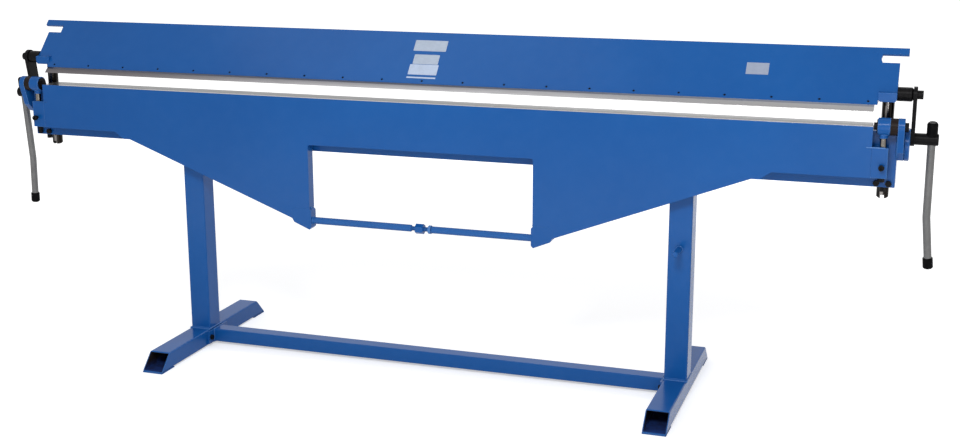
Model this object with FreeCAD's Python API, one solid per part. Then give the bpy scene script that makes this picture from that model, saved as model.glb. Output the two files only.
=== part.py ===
"""Long hand-operated sheet metal folder on two feet.

The origin lies on the floor under the middle of the feet. X runs along the
blades with the operator's right at +X, the operator stands at -Y, and Z is up.
The clamping beam is modelled raised, with both clamping handles hanging down.
All sizes are in millimetres.
"""
import FreeCAD, Part
import math
import os

V = FreeCAD.Vector

# Fits and gaps
running_fit = 0.05        # radial clearance of a shaft that turns or slides in a bore
side_gap = 0.3            # gap between the faces of two neighbours that move past each other
same = 0.001              # two places closer than this are the same

# Working length, height and opening
blade_length = 3050.0     # longest sheet that can be folded
bed_top = 990.0           # working height above the floor
clamp_lift = 44.0         # travel of the clamping beam

# Feet, legs and stretcher
foot_length = 800.0
foot_width = 80.0
foot_height = 60.0
foot_bevel = 60.0         # how much shorter the foot is at its top, at each end
foot_wall = 4.0
foot_corner = 5.0         # outside corner radius of the square tubes
pad_thick = 4.0
pad_length = 86.0
leg_spacing = 1850.0      # between the middles of the two legs
leg_size = 80.0
leg_wall = 4.0
leg_forward = 4.0         # the legs stand this far in front of the middle of the feet
weld_leg = 6.0
stretcher_width = 60.0
stretcher_height = 50.0
stretcher_wall = 3.0
stretcher_back = 2.0      # middle of the stretcher behind the middle of the feet
stretcher_raise = 6.0     # underside of the stretcher above the underside of the feet
flange_thick = 8.0
flange_width = 140.0
flange_bolt_spacing = 108.0
flange_bolt_d = 12.0
flange_bolt_head = 8.0
peg_d = 20.0
peg_length = 85.0
peg_height = 533.0        # middle of the peg above the floor
peg_tip = 3.0             # chamfer at the end of the peg

# Bed
bed_beam_depth = 80.0
bed_beam_height = 181.0
bed_beam_wall = 8.0
bed_beam_inset = 3.0      # the beam ends this far inside the end of the blade
bed_blade_thick = 20.0
bed_blade_width = 70.0

# End blocks, which guide the pillars and carry the lugs
block_width = 82.0
block_depth = 100.0
block_bolt_d = 12.0
block_bolt_spacing = 38.0
block_bolt_head = 10.0
block_bolt_raise = 12.5   # middle of the bolts above the underside of the block
under_screw_d = 12.0
under_screw_flats = 19.0
under_screw_head = 18.0
under_screw_depth = 20.0  # how far the screw reaches up into the block
under_screw_back = 24.0   # the screw under the block, behind the block's front

# Folding axis
fold_reach = 35.0         # folding axis in front of the bed beam
pin_d = 16.0
pin_head_d = 24.0
pin_head_length = 9.3
pin_flange_d = 46.0
pin_flange_thick = 3.0
pin_nut_flats = 26.0
pin_nut_thick = 11.5
eye_d = 55.0
eye_width = 38.0
neck_d = 26.0
neck_top = 10.0           # where the taper of the eye starts, below the axis
neck_bottom = 31.0        # where the taper ends, below the axis
eye_shank = 37.0          # where the painted shank ends, below the axis
stem_d = 20.0
stem_engaged = 68.0       # stem inside the adjuster block at the leaf's lowest setting
bush_d = 54.0
bush_length = 23.0
lug_thick = 20.0
lug_eye_r = 28.0
lug_front_lean = 17.5     # lean of the lug's front edge from upright
lug_front_drop = 81.0     # foot of the lug's front edge below the bed's top
lug_foot_back = 29.0      # lower corner of the lug behind the folding axis
lug_foot_drop = 110.0     # the same corner below the bed's top

# Folding leaf
leaf_thick = 15.0
leaf_axis_gap = 0.3       # gap between the back of the leaf and the folding axis
leaf_end_gap = 1.0        # gap between the end of the leaf and the head of the hinge pin
leaf_edge = 1.0           # chamfer along the upper front edge
leaf_end_depth = 165.0    # height of the leaf at its ends
leaf_step_x = 1222.0      # where the lower edge leaves the straight end part
leaf_step_run = 37.0
leaf_shoulder_depth = 191.0
leaf_shoulder_flat = 27.0
leaf_belly_x = 500.0
leaf_belly_depth = 442.5
opening_half = 422.0      # half the width of the opening in the leaf
opening_height = 272.5    # upper edge of the opening above the belly of the leaf
opening_corner = 8.0
rib_thick = 10.0
rib_depth = 25.0
rib_top_depth = 90.0      # upper end of the ribs below the top of the leaf
leaf_height_travel = 10.0 # setting range of the leaf for thicker sheet

# Truss below the opening
bracket_depth = 40.0
bracket_overhang = 5.5    # the bracket stands this far into the opening
bracket_width = 76.5
bracket_reach = 36.5      # top of the bracket above the belly of the leaf
bracket_height = 78.0
bracket_slope = 25.0      # rise of the lower edge over the width of the bracket
bracket_side = 31.0       # length of the upright outer end
bracket_edge = 8.0        # the small corner cuts
rod_d = 25.5
rod_drop = 46.5           # middle of the rods below the top of the brackets
rod_inner_left = 31.0
rod_inner_right = 43.0
rod_chamfer = 3.0
stud_d = 16.0
stud_engaged = 40.0
nut_flats = 32.0
nut_length = 30.0
locknut_length = 11.7
locknut_d = 31.0

# Adjuster blocks at the ends of the leaf
adjuster_drop = 66.5      # top of the block below the working height
adjuster_height = 97.0
adjuster_depth = 40.0
adjuster_cover = 17.5     # from the middle of the stem to the outer side
adjuster_foot = 7.0       # stem bore below the end of the stem
set_screw_d = 10.0
set_screw_head_d = 18.5
set_screw_head = 10.0
set_screw_proud = 10.0    # length of bare shank in front of the block
set_screw_drop = 61.0     # set screw below the top of the block
height_screw_d = 12.0     # screw under the block, which holds the leaf's height
height_screw_flats = 19.0
height_screw_head = 14.0
socket_ratio = 0.5        # width of a hexagon socket as a share of its screw's head
bolt_head_share = 1.5     # width across a bolt's flats as a share of its thread

# Clamping beam
closed_gap = 0.3          # gap between the closed blades
nose_setback = 1.5        # blade edge behind the folding axis
clamp_blade_thick = 18.0
clamp_blade_depth = 69.0
nose_land = 0.8           # height of the flat at the very edge
nose_facet = 14.0         # depth of the sloped nose
nose_rise = 13.0          # height of the sloped nose
plate_setback = 28.0      # foot of the plate's front face behind the blade edge
plate_lean = 42.0         # degrees from upright
plate_thick = 10.0
plate_height = 221.0      # measured up the slope
plate_end = 67.0          # end of the plate's main part outside the blade
strip_end = 93.0          # end of the plate's top strip outside the blade
strip_height = 25.0
slot_height = 33.5
slot_end = 13.0           # inner end of the slot outside the blade
slot_point = 5.0          # depth of the right slot's pointed inner end
lower_corner_cut = 6.0    # the lower outer corner of the plate beside the notch
lug_notch = 41.5          # height of the notch that takes the clamp lug, up the slope
base_thick = 25.0
clamp_depth = 133.5       # back of the web behind the blade edge
web_thick = 10.0
blade_screw_count = 21
blade_screw_margin = 19.0 # first screw inside the end of the blade
blade_screw_up = 13.0     # screws above the foot of the plate, up the slope
blade_screw_d = 8.0
blade_screw_length = 8.0
blade_screw_sunk = 1.5
clamp_lug_in = 10.0       # inner side of the clamp lug outside the blade
clamp_lug_raise = 8.0
clamp_lug_height = 45.0
clamp_lug_edge = 6.0
clamp_lug_back = 8.0      # front face of the lug behind the plate's front at the lug's foot
clamp_lug_face = 29.0     # height of the upright front face of the lug
clamp_lug_slope = 2.0     # height of the slope above that face
pillar_d = 39.0
pillar_out = 40.5         # middle of the pillar outside the end of the blade
pillar_behind_axis = 107.0
pillar_length = 357.0
pillar_cover = 8.0        # lug above the top of the pillar
pillar_slot = 12.0
pillar_edge = 5.0

# Crank, link and clamping handle
crank_behind_axis = 71.0
crank_below_bed = 66.0
journal_behind = 35.0     # the journal behind the crank's axis, with the handle hanging down
journal_rise = 14.0       # the journal above the crank's axis
crank_disc_d = 104.0
crank_disc_thick = 16.0
crank_edge = 2.0
crank_shaft_d = 35.0
shaft_pocket = 12.0       # how far the shaft reaches into the end block
journal_d = 26.0
journal_socket = 38.0
hub_d = 38.0
hub_length = 73.5
hub_edge = 2.5
handle_out = 52.0         # handle outside the inner end of the hub
handle_d = 25.5
handle_lean_right = 11.9  # degrees back, going down
handle_lean_left = 5.5    # the left handle is set nearer to upright
handle_splay = 0.3        # degrees outward, going down, above the bend
handle_tip_splay = 5.3    # degrees outward below the bend
handle_upper = 271.0      # from the hub to the bend
handle_lower = 184.0      # from the bend to the end of the grip
handle_bend_r = 80.0
handle_in_cap = 36.0      # top of the handle's tube above the middle of the hub
cap_d = 34.6
cap_height = 43.0
cap_shoulder = 4.5        # the narrower steps at the top of the cap
cap_shoulder_in = 2.0
cap_crown = 3.0
cap_crown_in = 5.5
spot_depth = 3.0          # flat cut into the hub on which the cap sits
spot_margin = 0.7         # the flat reaches this far past the cap
grip_d = 33.3
grip_length = 38.0
grip_edge = 3.0
grip_end = 5.0            # closed end of the grip
link_thick = 12.0
link_low_r = 23.5
link_high_r = 26.0
link_bolt_d = 16.0
link_bolt_head_d = 28.0
link_bolt_head = 18.0
boss_d = 45.0
boss_behind_axis = 80.0
boss_edge = 5.0

# Places worked out from the sizes above
blade_half = blade_length / 2
leg_x = leg_spacing / 2
foot_z0 = pad_thick
foot_z1 = foot_z0 + foot_height
bed_y0 = -leg_forward - bed_beam_depth / 2
bed_y1 = bed_y0 + bed_beam_depth
bed_z1 = bed_top - bed_blade_thick
bed_z0 = bed_z1 - bed_beam_height
bed_half = blade_half - bed_beam_inset
fold_y = bed_y0 - fold_reach
fold_z = bed_top

block_out = bed_half + block_width
block_y1 = bed_y0 + block_depth
lug_out = block_out + lug_thick
bush_in = block_out - bush_length
eye_out = bush_in - side_gap
eye_in = eye_out - eye_width
flange_out = eye_in - side_gap
flange_in = flange_out - pin_flange_thick
pin_in = flange_in - pin_head_length
stem_x = (eye_in + eye_out) / 2

leaf_back = fold_y - leaf_axis_gap
leaf_front = leaf_back - leaf_thick
leaf_half = pin_in - leaf_end_gap
leaf_end_z = bed_top - leaf_end_depth
belly_z = bed_top - leaf_belly_depth
opening_z = belly_z + opening_height
bracket_x0 = opening_half - bracket_overhang
bracket_x1 = bracket_x0 + bracket_width
bracket_z1 = belly_z + bracket_reach
bracket_z0 = bracket_z1 - bracket_height
rod_y = leaf_front + bracket_depth / 2
rod_z = bracket_z1 - rod_drop
adjuster_x1 = stem_x + adjuster_cover
adjuster_z1 = bed_top - adjuster_drop
adjuster_z0 = adjuster_z1 - adjuster_height
set_screw_z = adjuster_z1 - set_screw_drop

nose_y = fold_y + nose_setback
nose_z = bed_top + closed_gap + clamp_lift
clamp_z = nose_z + clamp_blade_thick
plate_y = nose_y + plate_setback
lean = math.radians(plate_lean)
plate_back_y = plate_y + plate_thick / math.cos(lean)
web_back = nose_y + clamp_depth
clamp_lug_x0 = blade_half + clamp_lug_in
clamp_end = blade_half + plate_end
clamp_lug_z0 = clamp_z + clamp_lug_raise
clamp_lug_z1 = clamp_lug_z0 + clamp_lug_height
pillar_x = blade_half + pillar_out
pillar_y = fold_y + pillar_behind_axis
under_screw_y = bed_y0 + under_screw_back
pillar_z1 = clamp_lug_z1 - pillar_cover
pillar_z0 = pillar_z1 - pillar_length

crank_y = fold_y + crank_behind_axis
crank_z = bed_top - crank_below_bed
journal_y = crank_y + journal_behind
journal_z = crank_z + journal_rise
disc_in = lug_out + side_gap
disc_out = disc_in + crank_disc_thick
link_in = disc_out + side_gap
link_out = link_in + link_thick
hub_in = link_out + side_gap
hub_out = hub_in + hub_length
handle_x = hub_in + handle_out
boss_y = fold_y + boss_behind_axis
boss_z = (clamp_lug_z0 + clamp_lug_z1) / 2
stem_z0 = adjuster_z1 - stem_engaged - leaf_height_travel

hub_middle = V(handle_x, journal_y, journal_z)


def box(x0, x1, y0, y1, z0, z1):
    """Box between two corners."""
    return Part.makeBox(x1 - x0, y1 - y0, z1 - z0, V(x0, y0, z0))


def round_x(x0, x1, y, z, d):
    """Cylinder along X."""
    return Part.makeCylinder(d / 2, x1 - x0, V(x0, y, z), V(1, 0, 0))


def round_y(y0, y1, x, z, d):
    """Cylinder along Y."""
    return Part.makeCylinder(d / 2, y1 - y0, V(x, y0, z), V(0, 1, 0))


def round_z(z0, z1, x, y, d):
    """Cylinder along Z."""
    return Part.makeCylinder(d / 2, z1 - z0, V(x, y, z0), V(0, 0, 1))


def bore(d):
    """Diameter of the bore in which a shaft of this diameter runs."""
    return d + 2 * running_fit


def prism(points, travel):
    """Solid made by moving a flat outline of straight edges along a vector."""
    outline = Part.makePolygon(points + points[:1])
    return Part.Face(outline).extrude(travel)


def prism_x(points, x0, x1):
    """Prism along X from (y, z) points."""
    return prism([V(x0, y, z) for y, z in points], V(x1 - x0, 0, 0))


def prism_y(points, y0, y1):
    """Prism along Y from (x, z) points."""
    return prism([V(x, y0, z) for x, z in points], V(0, y1 - y0, 0))


def hexagon_x(x0, x1, y, z, flats):
    """Hexagonal prism along X, measured across its flats."""
    reach = flats / 2 / math.cos(math.pi / 6)
    turns = [math.pi / 6 + i * math.pi / 3 for i in range(6)]
    return prism_x([(y + reach * math.cos(a), z + reach * math.sin(a)) for a in turns], x0, x1)


def hexagon_y(y0, y1, x, z, flats):
    """Hexagonal prism along Y, measured across its flats."""
    reach = flats / 2 / math.cos(math.pi / 6)
    turns = [i * math.pi / 3 for i in range(6)]
    return prism_y([(x + reach * math.cos(a), z + reach * math.sin(a)) for a in turns], y0, y1)


def hexagon_z(z0, z1, x, y, flats):
    """Hexagonal prism along Z, measured across its flats."""
    reach = flats / 2 / math.cos(math.pi / 6)
    turns = [i * math.pi / 3 for i in range(6)]
    return prism([V(x + reach * math.cos(a), y + reach * math.sin(a), z0) for a in turns], V(0, 0, z1 - z0))


def mirrored(shape):
    """The same piece at the operator's left end."""
    return shape.mirror(V(0, 0, 0), V(1, 0, 0))


def edges_along(shape, direction):
    """Straight edges of a shape that run along a direction."""
    found = []
    for edge in shape.Edges:
        if isinstance(edge.Curve, Part.Line) and edge.tangentAt(edge.FirstParameter).cross(direction).Length < same:
            found.append(edge)
    return found


def round_edges_at(shape, test):
    """Round edges of a shape whose centre passes a test."""
    return [e for e in shape.Edges if isinstance(e.Curve, Part.Circle) and test(e.Curve.Center)]


def rounded_bar(x0, x1, y0, y1, z0, z1, direction, corner):
    """Bar with rounded long edges."""
    bar = box(x0, x1, y0, y1, z0, z1)
    return bar.makeFillet(corner, edges_along(bar, direction))


def square_tube(x0, x1, y0, y1, z0, z1, direction, wall, corner):
    """Square tube with open ends and rounded long edges."""
    outer = rounded_bar(x0, x1, y0, y1, z0, z1, direction, corner)
    side = [wall * (1 - abs(c)) for c in direction]
    inner = rounded_bar(x0 + side[0], x1 - side[0], y0 + side[1], y1 - side[1],
                        z0 + side[2], z1 - side[2], direction, corner - wall / 2)
    return outer.cut(inner)


def hull_x(a, radius_a, b, radius_b, x0, x1):
    """Plate along X whose outline wraps two circles, with (y, z) centres."""
    dy = b[0] - a[0]
    dz = b[1] - a[1]
    along = math.atan2(dz, dy)
    lean_in = math.acos((radius_a - radius_b) / math.hypot(dy, dz))

    def rim(centre, radius, turn):
        return V(x0, centre[0] + radius * math.cos(turn), centre[1] + radius * math.sin(turn))

    first_a = rim(a, radius_a, along + lean_in)
    first_b = rim(b, radius_b, along + lean_in)
    second_a = rim(a, radius_a, along - lean_in)
    second_b = rim(b, radius_b, along - lean_in)
    edges = [
        Part.Arc(first_a, rim(a, radius_a, along + math.pi), second_a).toShape(),
        Part.LineSegment(second_a, second_b).toShape(),
        Part.Arc(second_b, rim(b, radius_b, along), first_b).toShape(),
        Part.LineSegment(first_b, first_a).toShape(),
    ]
    return Part.Face(Part.Wire(edges)).extrude(V(x1 - x0, 0, 0))


def foot():
    """Bevelled square tube that lies along Y under the right leg."""
    x0 = leg_x - foot_width / 2
    x1 = leg_x + foot_width / 2
    half = foot_length / 2
    tube = square_tube(x0, x1, -half, half, foot_z0, foot_z1, V(0, 1, 0), foot_wall, foot_corner)
    for end in (-1, 1):
        bevel = [(end * half, foot_z0), (end * half, foot_z1), (end * (half - foot_bevel), foot_z1)]
        tube = tube.cut(prism_x(bevel, x0, x1))
    return tube


def foot_pads():
    """Floor pads under both ends of the right foot."""
    x0 = leg_x - foot_width / 2
    x1 = leg_x + foot_width / 2
    half = foot_length / 2
    front = box(x0, x1, -half, pad_length - half, 0, pad_thick)
    rear = box(x0, x1, half - pad_length, half, 0, pad_thick)
    return [front, rear]


def leg():
    """Upright square tube of the right leg, with its weld beads on the foot."""
    x0 = leg_x - leg_size / 2
    x1 = leg_x + leg_size / 2
    y0 = -leg_forward - leg_size / 2
    y1 = y0 + leg_size
    tube = square_tube(x0, x1, y0, y1, foot_z1, bed_z0, V(0, 0, 1), leg_wall, foot_corner)
    for y, way in ((y0, -1), (y1, 1)):
        bead = [(y, foot_z1), (y + way * weld_leg, foot_z1), (y, foot_z1 + weld_leg)]
        tube = tube.fuse(prism_x(bead, x0 + foot_corner, x1 - foot_corner))
    return tube


def leg_peg():
    """Peg on the front of the right leg."""
    y1 = -leg_forward - leg_size / 2
    peg = round_y(y1 - peg_length, y1, leg_x, peg_height, peg_d)
    tip = round_edges_at(peg, lambda c: c.y < y1 - peg_length / 2)
    return peg.makeChamfer(peg_tip, tip)


def stretcher():
    """Square tube that joins the two feet."""
    half = leg_x - foot_width / 2 - flange_thick
    y0 = stretcher_back - stretcher_width / 2
    z0 = foot_z0 + stretcher_raise
    return square_tube(-half, half, y0, y0 + stretcher_width, z0, z0 + stretcher_height,
                       V(1, 0, 0), stretcher_wall, foot_corner)


def flange_bolt_places():
    """The (y, z) places of the bolts in a stretcher flange."""
    z = foot_z0 + foot_height / 2
    return [(stretcher_back + way * flange_bolt_spacing / 2, z) for way in (-1, 1)]


def stretcher_flange():
    """Drilled end plate of the stretcher at the right foot."""
    x1 = leg_x - foot_width / 2
    y0 = stretcher_back - flange_width / 2
    z0 = foot_z0 + stretcher_raise
    plate = box(x1 - flange_thick, x1, y0, y0 + flange_width, z0, z0 + stretcher_height)
    for y, z in flange_bolt_places():
        plate = plate.cut(round_x(x1 - flange_thick, x1, y, z, flange_bolt_d))
    return plate


def stretcher_bolts():
    """Bolts through the flange into the right foot."""
    x1 = leg_x - foot_width / 2
    head_out = x1 - flange_thick
    bolts = []
    for y, z in flange_bolt_places():
        head = hexagon_x(head_out - flange_bolt_head, head_out, y, z, flange_bolt_d * bolt_head_share)
        bolts.append(head.fuse(round_x(head_out, x1, y, z, flange_bolt_d)))
    return bolts


def bed_beam():
    """Welded box beam under the bed blade."""
    outer = box(-bed_half, bed_half, bed_y0, bed_y1, bed_z0, bed_z1)
    w = bed_beam_wall
    inner = box(-bed_half, bed_half, bed_y0 + w, bed_y1 - w, bed_z0 + w, bed_z1 - w)
    return outer.cut(inner)


def bed_blade():
    """Bare steel bar on which the sheet lies."""
    y0 = fold_y + leaf_axis_gap
    return box(-blade_half, blade_half, y0, y0 + bed_blade_width, bed_z1, bed_top)


def block_bolt_places():
    """The (x, z) places of the two bolts in the front of the right end block."""
    middle = pillar_x
    z = bed_z0 + block_bolt_raise
    return [(middle + way * block_bolt_spacing / 2, z) for way in (-1, 1)]


def end_block():
    """Block at the right end of the bed, bored for the pillar and for the crank shaft."""
    block = box(bed_half, block_out, bed_y0, block_y1, bed_z0, bed_z1)
    block = block.cut(round_z(bed_z0, bed_z1, pillar_x, pillar_y, bore(pillar_d)))
    pocket = round_x(block_out - shaft_pocket - side_gap, block_out, crank_y, crank_z, bore(crank_shaft_d))
    block = block.cut(pocket)
    for x, z in block_bolt_places():
        block = block.cut(round_y(bed_y0, bed_y0 + block_bolt_d, x, z, block_bolt_d))
    return block.cut(round_z(bed_z0, bed_z0 + under_screw_depth, pillar_x, under_screw_y, under_screw_d))


def end_block_bolts():
    """Hexagon bolts in the front of the right end block."""
    bolts = []
    for x, z in block_bolt_places():
        head = hexagon_y(bed_y0 - block_bolt_head, bed_y0, x, z, block_bolt_d * bolt_head_share)
        bolts.append(head.fuse(round_y(bed_y0, bed_y0 + block_bolt_d, x, z, block_bolt_d)))
    return bolts


def under_screw():
    """Hexagon screw in the underside of the right end block, in front of the pillar."""
    head = hexagon_z(bed_z0 - under_screw_head, bed_z0, pillar_x, under_screw_y, under_screw_flats)
    return head.fuse(round_z(bed_z0, bed_z0 + under_screw_depth, pillar_x, under_screw_y, under_screw_d))


def hinge_lug():
    """Side plate that carries the hinge pin in front and the crank shaft behind."""
    turn = math.radians(lug_front_lean)
    edge_top = (fold_y - lug_eye_r * math.cos(turn), fold_z - lug_eye_r * math.sin(turn))
    edge_foot = fold_z - lug_front_drop
    front = [
        edge_top,
        (edge_top[0] + (edge_top[1] - edge_foot) * math.tan(turn), edge_foot),
        (fold_y + lug_foot_back, fold_z - lug_foot_drop),
        (crank_y, crank_z - crank_disc_d / 2),
        (crank_y, crank_z),
        (fold_y, fold_z),
    ]
    plate = hull_x((fold_y, fold_z), lug_eye_r, (crank_y, crank_z), crank_disc_d / 2, block_out, lug_out)
    plate = plate.fuse(prism_x(front, block_out, lug_out)).removeSplitter()
    plate = plate.cut(round_x(block_out, lug_out, fold_y, fold_z, pin_d))
    return plate.cut(round_x(block_out, lug_out, crank_y, crank_z, bore(crank_shaft_d)))


def hinge_pin():
    """Flanged pin that carries the right hinge eye."""
    pin = round_x(pin_in, flange_in, fold_y, fold_z, pin_head_d)
    pin = pin.fuse(round_x(flange_in, flange_out, fold_y, fold_z, pin_flange_d))
    return pin.fuse(round_x(flange_out, lug_out + pin_nut_thick, fold_y, fold_z, pin_d))


def hinge_bush():
    """Spacer between the hinge eye and the lug."""
    bush = round_x(bush_in, block_out, fold_y, fold_z, bush_d)
    return bush.cut(round_x(bush_in, block_out, fold_y, fold_z, pin_d))


def hinge_pin_nut():
    """Thin nut on the outer end of the hinge pin."""
    nut = hexagon_x(lug_out, lug_out + pin_nut_thick, fold_y, fold_z, pin_nut_flats)
    return nut.cut(round_x(lug_out, lug_out + pin_nut_thick, fold_y, fold_z, pin_d))


def hinge_eye():
    """Eye on the hinge pin, tapering into the stem that carries the folding leaf."""
    shank_z = fold_z - eye_shank
    eye = round_x(eye_in, eye_out, fold_y, fold_z, eye_d)
    eye = eye.fuse(round_z(shank_z, fold_z, stem_x, fold_y, neck_d))
    taper = [
        V(stem_x, fold_y, fold_z + eye_d),
        V(stem_x + eye_d, fold_y, fold_z + eye_d),
        V(stem_x + eye_d, fold_y, fold_z - neck_top),
        V(stem_x + math.hypot(eye_width / 2, eye_d / 2), fold_y, fold_z - neck_top),
        V(stem_x + neck_d / 2, fold_y, fold_z - neck_bottom),
        V(stem_x + neck_d / 2, fold_y, shank_z),
        V(stem_x, fold_y, shank_z),
    ]
    outline = Part.Face(Part.makePolygon(taper + taper[:1]))
    envelope = outline.revolve(V(stem_x, fold_y, fold_z), V(0, 0, 1), 360)
    eye = eye.common(envelope)
    eye = eye.fuse(round_z(stem_z0, shank_z, stem_x, fold_y, stem_d))
    return eye.cut(round_x(eye_in, eye_out, fold_y, fold_z, bore(pin_d)))


def leaf_half_outline():
    """Lower edge of the right half of the leaf, from its end to the opening."""
    shoulder_z = bed_top - leaf_shoulder_depth
    shoulder_x = leaf_step_x - leaf_step_run
    slope_start = shoulder_x - leaf_shoulder_flat
    slope = (shoulder_z - belly_z) / (slope_start - leaf_belly_x)
    return [
        (leaf_half, bed_top),
        (leaf_half, leaf_end_z),
        (leaf_step_x, leaf_end_z),
        (shoulder_x, shoulder_z),
        (slope_start, shoulder_z),
        (opening_half, belly_z - slope * (leaf_belly_x - opening_half)),
        (opening_half, opening_z),
    ]


def bracket_outline():
    """Outline of the right truss bracket as (x, z) points."""
    foot_z = bracket_z0 + bracket_slope
    return [
        (bracket_x0, bracket_z0 + bracket_edge),
        (bracket_x0, bracket_z1 - bracket_edge),
        (bracket_x0 + bracket_edge, bracket_z1),
        (bracket_x1 - bracket_edge, bracket_z1),
        (bracket_x1, bracket_z1 - bracket_edge),
        (bracket_x1, bracket_z1 - bracket_edge - bracket_side),
        (bracket_x1 - bracket_edge, foot_z),
        (bracket_x0 + bracket_edge, bracket_z0),
    ]


def folding_plate():
    """Folding leaf: a deep plate with a belly, an opening and a bare upper edge."""
    right = leaf_half_outline()
    left = [(-x, z) for x, z in reversed(right)]
    plate = prism_y(right + left, leaf_front, leaf_back)
    corners = [e for e in edges_along(plate, V(0, 1, 0))
               if abs(abs(e.CenterOfMass.x) - opening_half) < same and abs(e.CenterOfMass.z - opening_z) < same]
    plate = plate.makeFillet(opening_corner, corners)
    edge = [(leaf_front, bed_top), (leaf_front + leaf_edge, bed_top), (leaf_front, bed_top - leaf_edge)]
    plate = plate.cut(prism_x(edge, -leaf_half, leaf_half))
    seat = prism_y(bracket_outline(), leaf_front, leaf_back)
    return plate.cut(seat).cut(mirrored(seat))


def opening_rib():
    """Upright rib behind the leaf beside the opening."""
    z1 = bed_top - rib_top_depth
    return box(opening_half, opening_half + rib_thick, leaf_back, leaf_back + rib_depth, bracket_z1, z1)


def truss_bracket():
    """Thick corner piece that anchors the truss rod."""
    return prism_y(bracket_outline(), leaf_front, leaf_front + bracket_depth)


def truss_rod(inner):
    """Right truss rod from the bracket to its inner end, bored for the stud."""
    rod = round_x(inner, bracket_x0, rod_y, rod_z, rod_d)
    rod = rod.makeChamfer(rod_chamfer, round_edges_at(rod, lambda c: c.x < inner + rod_chamfer))
    return rod.cut(round_x(inner, inner + stud_engaged + rod_chamfer, rod_y, rod_z, bore(stud_d)))


def turnbuckle():
    """Hexagon with two studs that tightens the truss rods."""
    nut = hexagon_x(-nut_length / 2, nut_length / 2, rod_y, rod_z, nut_flats)
    stud = round_x(-rod_inner_left - stud_engaged, rod_inner_right + stud_engaged, rod_y, rod_z, stud_d)
    return nut.fuse(stud)


def turnbuckle_locknut():
    """Round locknut against the inner end of the right rod."""
    x1 = rod_inner_right
    nut = round_x(x1 - locknut_length, x1, rod_y, rod_z, locknut_d)
    nut = nut.makeChamfer(rod_chamfer, round_edges_at(nut, lambda c: c.x < x1 - locknut_length / 2))
    return nut.cut(round_x(x1 - locknut_length, x1, rod_y, rod_z, bore(stud_d)))


def adjuster_block():
    """Block welded to the right end of the leaf, in which the hinge stem is set."""
    block = box(leaf_half, adjuster_x1, leaf_front, leaf_front + adjuster_depth, adjuster_z0, adjuster_z1)
    block = block.cut(round_z(stem_z0 - adjuster_foot, adjuster_z1, stem_x, fold_y, bore(stem_d)))
    block = block.cut(round_z(adjuster_z0, stem_z0 - adjuster_foot, stem_x, fold_y, height_screw_d))
    return block.cut(round_y(leaf_front, fold_y, stem_x, set_screw_z, set_screw_d))


def set_screw():
    """Cap screw that clamps the right hinge stem."""
    tip = fold_y - stem_d / 2 - side_gap
    head_back = leaf_front - set_screw_proud
    head_front = head_back - set_screw_head
    screw = round_y(head_back, tip, stem_x, set_screw_z, set_screw_d)
    screw = screw.fuse(round_y(head_front, head_back, stem_x, set_screw_z, set_screw_head_d))
    socket = hexagon_y(head_front, head_front + set_screw_head / 2, stem_x, set_screw_z,
                       set_screw_head_d * socket_ratio)
    return screw.cut(socket)


def height_screw():
    """Screw under the adjuster block, on whose tip the right hinge stem rests."""
    head = hexagon_z(adjuster_z0 - height_screw_head, adjuster_z0, stem_x, fold_y, height_screw_flats)
    return head.fuse(round_z(adjuster_z0, stem_z0 - side_gap, stem_x, fold_y, height_screw_d))


def on_plate(shape):
    """Puts a piece drawn flat, with Y up the slope and Z outward, on the plate's front face."""
    placed = shape.copy()
    placed.rotate(V(0, 0, 0), V(1, 0, 0), 90 - plate_lean)
    placed.translate(V(0, plate_y, clamp_z))
    return placed


def plate_front_at(z):
    """Place in Y of the plate's front face at a height."""
    return plate_y + (z - clamp_z) * math.tan(lean)


def plate_back_at(z):
    """Place in Y of the plate's back face at a height."""
    return plate_back_y + (z - clamp_z) * math.tan(lean)


def plate_back_height(y):
    """Height of the plate's back face at a place in Y."""
    return clamp_z + (y - plate_back_y) / math.tan(lean)


def plate_half_outline(point):
    """Right half of the plate's outline, drawn flat, from its foot to its top."""
    x_main = clamp_end
    x_strip = blade_half + strip_end
    x_slot = blade_half + slot_end
    slot_top = plate_height - strip_height
    slot_bottom = slot_top - slot_height
    slot_middle = (slot_top + slot_bottom) / 2
    below = -plate_thick * (1 + math.tan(lean))
    return [
        (clamp_lug_x0, below),
        (clamp_lug_x0, lug_notch),
        (x_main - lower_corner_cut, lug_notch),
        (x_main, lug_notch + lower_corner_cut),
        (x_main, slot_bottom),
        (x_slot, slot_bottom),
        (x_slot - point, slot_middle),
        (x_slot, slot_top),
        (x_strip, slot_top),
        (x_strip, plate_height),
    ]


def blade_screw_places():
    """The x places of the screws along the plate's foot."""
    first = blade_half - blade_screw_margin
    pitch = 2 * first / (blade_screw_count - 1)
    return [-first + i * pitch for i in range(blade_screw_count)]


def clamp_plate():
    """Leaning front plate of the clamping beam, slotted at both ends."""
    right = plate_half_outline(slot_point)
    left = [(-x, s) for x, s in reversed(plate_half_outline(0))]
    points = [V(x, s, -plate_thick) for x, s in right + left]
    flat = prism(points, V(0, 0, plate_thick))
    holes = []
    for x in blade_screw_places():
        holes.append(round_z(-plate_thick, 0, x, blade_screw_up, blade_screw_d))
    plate = on_plate(flat.cut(Part.makeCompound(holes)))
    reach = plate_height
    under = box(-clamp_end, clamp_end, plate_y - reach, plate_y + reach, clamp_z - reach, clamp_z)
    return plate.cut(under)


def blade_screws():
    """Row of grub screws along the plate's foot."""
    screws = []
    for x in blade_screw_places():
        top = -blade_screw_sunk
        screw = round_z(top - blade_screw_length, top, x, blade_screw_up, blade_screw_d)
        reach = blade_screw_d * socket_ratio / 2 / math.cos(math.pi / 6)
        turns = [i * math.pi / 3 for i in range(6)]
        corners = [V(x + reach * math.cos(a), blade_screw_up + reach * math.sin(a), top) for a in turns]
        screw = screw.cut(prism(corners, V(0, 0, -blade_screw_length / 2)))
        screws.append(on_plate(screw))
    return Part.makeCompound(screws)


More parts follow.
